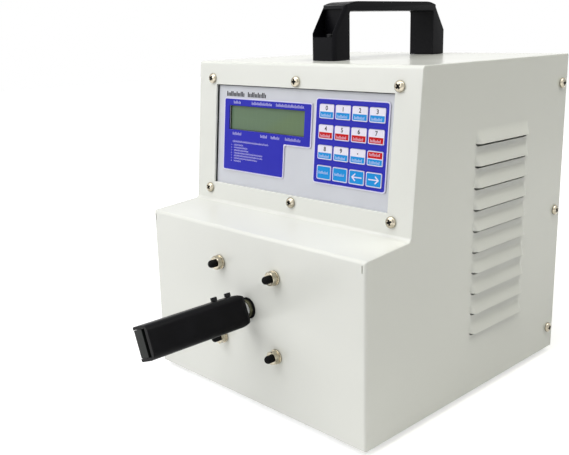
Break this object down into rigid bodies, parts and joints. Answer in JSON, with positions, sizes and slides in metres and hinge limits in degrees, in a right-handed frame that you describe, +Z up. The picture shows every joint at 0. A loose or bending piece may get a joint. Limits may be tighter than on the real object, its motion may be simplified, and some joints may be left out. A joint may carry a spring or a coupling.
{
  "type": "wire twisting machine",
  "caption": "Bench wire twister: sheet-metal casing with a keypad and display, side louvres, top handle and a motor-driven clamp head in front.",
  "frame": {"origin": "on the bench under the middle of the object's box, the clamp head and the rear sockets included", "axes": "+X to the right as seen from the front, +Y to the rear along the spindle, +Z up; the clamp head points along -Y"},
  "size_m": [0.274, 0.4086, 0.348],
  "materials": {
    "white_powder_coat": "satin, fine-textured powder coat",
    "zinc_steel": "zinc plated, dull",
    "bright_steel": "ground bright",
    "nickel_plate": "warm nickel plate, turned",
    "black_steel": "black oxide",
    "jaw_steel": "hardened, dark grey",
    "black_anodised": "black anodised, satin",
    "black_heatsink": "black anodised fins",
    "black_enamel": "black enamel",
    "black_nylon": "moulded nylon, fine grain",
    "red_nylon": "moulded",
    "black_rubber": "matt",
    "grey_film": "printed polyester film",
    "blue_film": "printed polyester film",
    "light_blue_key_film": "printed polyester film",
    "red_key_film": "printed polyester film",
    "white_key_film": "printed polyester film",
    "display_glass": "clear window over a grey-green display",
    "green_board": "green solder mask"
  },
  "bodies": {
    "machine": {"casing_shell": "white_powder_coat", "base_plate": "zinc_steel", "rear_panel": "white_powder_coat", "carry_handle": "black_nylon", "handle_screw_front": "black_steel", "handle_screw_rear": "black_steel", "control_plate": "zinc_steel", "overlay_sheet": "grey_film", "display_surround": "blue_film", "lcd_bezel": "black_steel", "lcd_glass": "display_glass", "keypad_membrane": "blue_film", "motor_stud_1": "nickel_plate", "motor_stud_2": "nickel_plate", "motor_stud_3": "nickel_plate", "motor_stud_4": "nickel_plate", "stud_cap_1": "black_rubber", "stud_cap_2": "black_rubber", "stud_cap_3": "black_rubber", "stud_cap_4": "black_rubber", "shaft_seal": "black_rubber", "foot_front_left": "black_rubber", "foot_front_right": "black_rubber", "foot_rear_left": "black_rubber", "foot_rear_right": "black_rubber", "motor_body": "black_enamel", "motor_bearing": "bright_steel", "control_board": "green_board", "power_supply": "zinc_steel", "motor_driver": "black_heatsink", "power_inlet": "black_nylon", "fuse_holder": "black_nylon", "switch_housing": "black_nylon", "pedal_socket": "nickel_plate"},
    "spindle_set": {"spindle": "bright_steel", "spindle_collar": "nickel_plate", "head_body": "black_anodised", "head_screw_1": "black_steel", "head_screw_2": "black_steel", "jaw_pin": "bright_steel", "jaw_spring": "bright_steel"},
    "jaw": {"head_jaw": "jaw_steel"},
    "rocker": {"power_rocker": "red_nylon"},
    "key_0_pad": {"key_0": "white_key_film"},
    "key_1_pad": {"key_1": "white_key_film"},
    "key_2_pad": {"key_2": "white_key_film"},
    "key_3_pad": {"key_3": "white_key_film"},
    "key_4_pad": {"key_4": "red_key_film"},
    "key_5_pad": {"key_5": "red_key_film"},
    "key_6_pad": {"key_6": "red_key_film"},
    "key_7_pad": {"key_7": "red_key_film"},
    "key_8_pad": {"key_8": "white_key_film"},
    "key_9_pad": {"key_9": "white_key_film"},
    "key_point_pad": {"key_point": "white_key_film"},
    "key_enter_pad": {"key_enter": "red_key_film"},
    "key_mode_pad": {"key_mode": "light_blue_key_film"},
    "key_clear_pad": {"key_clear": "light_blue_key_film"},
    "key_left_pad": {"key_left": "light_blue_key_film"},
    "key_right_pad": {"key_right": "light_blue_key_film"}
  },
  "joints": [
    {"name": "spindle_spin", "type": "hinge", "parent": "machine", "child": "spindle_set", "pos_m": [0, -0.0967, 0.0931], "axis": [0, 1, 0], "continuous": true},
    {"name": "jaw_open", "type": "hinge", "parent": "spindle_set", "child": "jaw", "pos_m": [-0.0028, -0.1587, 0.09202], "axis": [0.3616, 0, -0.9323], "range_deg": [0, 5], "stiffness_Nm_per_rad": 1, "springref_deg": -11.46},
    {"name": "power_rock", "type": "hinge", "parent": "machine", "child": "rocker", "pos_m": [0.07, 0.1908, 0.1143], "axis": [1, 0, 0], "range_deg": [0, 16]},
    {"name": "key_0_press", "type": "slide", "parent": "machine", "child": "key_0_pad", "axis": [0, 0.996, -0.0899], "range_m": [0, 0.0004], "stiffness_N_per_m": 4000},
    {"name": "key_1_press", "type": "slide", "parent": "machine", "child": "key_1_pad", "axis": [0, 0.996, -0.0899], "range_m": [0, 0.0004], "stiffness_N_per_m": 4000},
    {"name": "key_2_press", "type": "slide", "parent": "machine", "child": "key_2_pad", "axis": [0, 0.996, -0.0899], "range_m": [0, 0.0004], "stiffness_N_per_m": 4000},
    {"name": "key_3_press", "type": "slide", "parent": "machine", "child": "key_3_pad", "axis": [0, 0.996, -0.0899], "range_m": [0, 0.0004], "stiffness_N_per_m": 4000},
    {"name": "key_4_press", "type": "slide", "parent": "machine", "child": "key_4_pad", "axis": [0, 0.996, -0.0899], "range_m": [0, 0.0004], "stiffness_N_per_m": 4000},
    {"name": "key_5_press", "type": "slide", "parent": "machine", "child": "key_5_pad", "axis": [0, 0.996, -0.0899], "range_m": [0, 0.0004], "stiffness_N_per_m": 4000},
    {"name": "key_6_press", "type": "slide", "parent": "machine", "child": "key_6_pad", "axis": [0, 0.996, -0.0899], "range_m": [0, 0.0004], "stiffness_N_per_m": 4000},
    {"name": "key_7_press", "type": "slide", "parent": "machine", "child": "key_7_pad", "axis": [0, 0.996, -0.0899], "range_m": [0, 0.0004], "stiffness_N_per_m": 4000},
    {"name": "key_8_press", "type": "slide", "parent": "machine", "child": "key_8_pad", "axis": [0, 0.996, -0.0899], "range_m": [0, 0.0004], "stiffness_N_per_m": 4000},
    {"name": "key_9_press", "type": "slide", "parent": "machine", "child": "key_9_pad", "axis": [0, 0.996, -0.0899], "range_m": [0, 0.0004], "stiffness_N_per_m": 4000},
    {"name": "key_point_press", "type": "slide", "parent": "machine", "child": "key_point_pad", "axis": [0, 0.996, -0.0899], "range_m": [0, 0.0004], "stiffness_N_per_m": 4000},
    {"name": "key_enter_press", "type": "slide", "parent": "machine", "child": "key_enter_pad", "axis": [0, 0.996, -0.0899], "range_m": [0, 0.0004], "stiffness_N_per_m": 4000},
    {"name": "key_mode_press", "type": "slide", "parent": "machine", "child": "key_mode_pad", "axis": [0, 0.996, -0.0899], "range_m": [0, 0.0004], "stiffness_N_per_m": 4000},
    {"name": "key_clear_press", "type": "slide", "parent": "machine", "child": "key_clear_pad", "axis": [0, 0.996, -0.0899], "range_m": [0, 0.0004], "stiffness_N_per_m": 4000},
    {"name": "key_left_press", "type": "slide", "parent": "machine", "child": "key_left_pad", "axis": [0, 0.996, -0.0899], "range_m": [0, 0.0004], "stiffness_N_per_m": 4000},
    {"name": "key_right_press", "type": "slide", "parent": "machine", "child": "key_right_pad", "axis": [0, 0.996, -0.0899], "range_m": [0, 0.0004], "stiffness_N_per_m": 4000}
  ]
}
